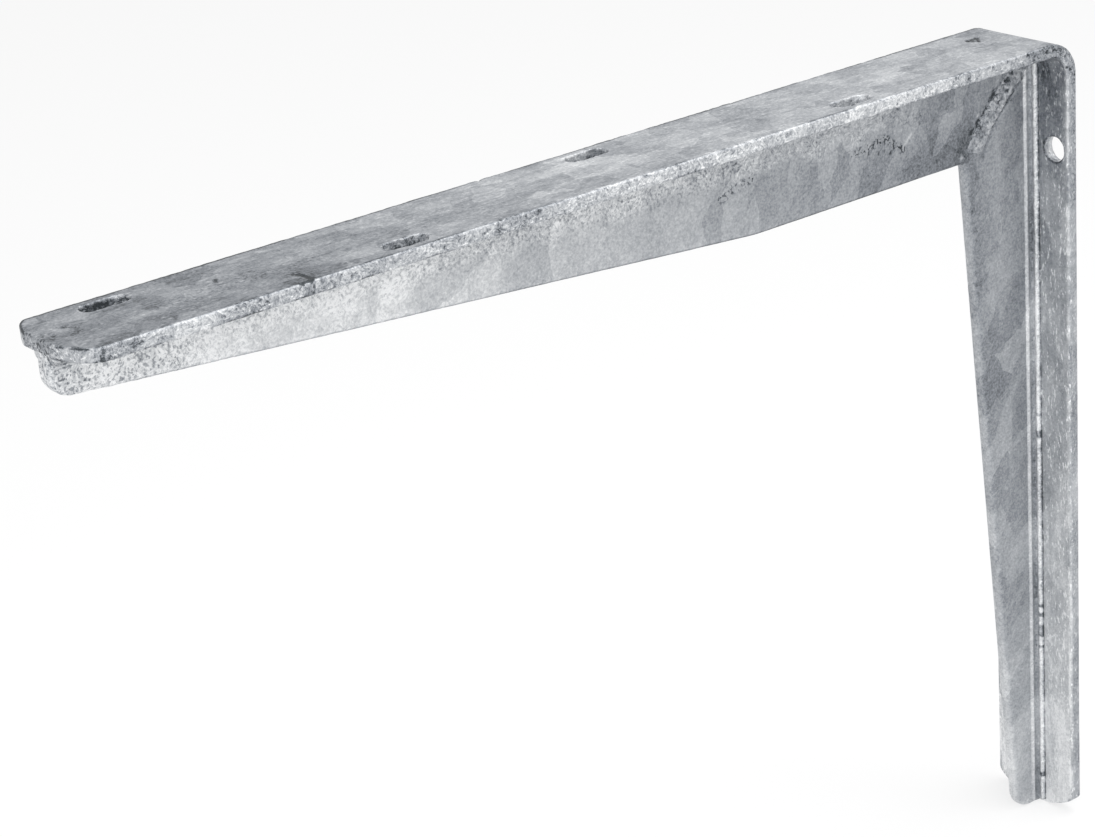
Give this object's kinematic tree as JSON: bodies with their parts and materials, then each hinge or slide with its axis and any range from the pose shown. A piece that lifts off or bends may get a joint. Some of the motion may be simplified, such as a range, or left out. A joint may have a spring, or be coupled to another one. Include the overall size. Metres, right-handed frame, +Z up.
{
  "type": "shelf bracket",
  "caption": "Heavy galvanised steel shelf bracket bent from T section: long slotted arm, wall leg with punched holes, tapered web and a welded corner mitre.",
  "frame": {"origin": "middle of the flat wall face, halfway down the leg, on the bracket's centre plane", "axes": "+X out from the wall along the arm, +Y across the flange, +Z up towards the shelf"},
  "size_m": [0.411, 0.04, 0.318],
  "materials": {
    "galvanised_steel": "hot-dip galvanised, mottled matt to satin zinc with rough edges"
  },
  "bodies": {
    "root": {"bracket": "galvanised_steel"}
  },
  "joints": []
}
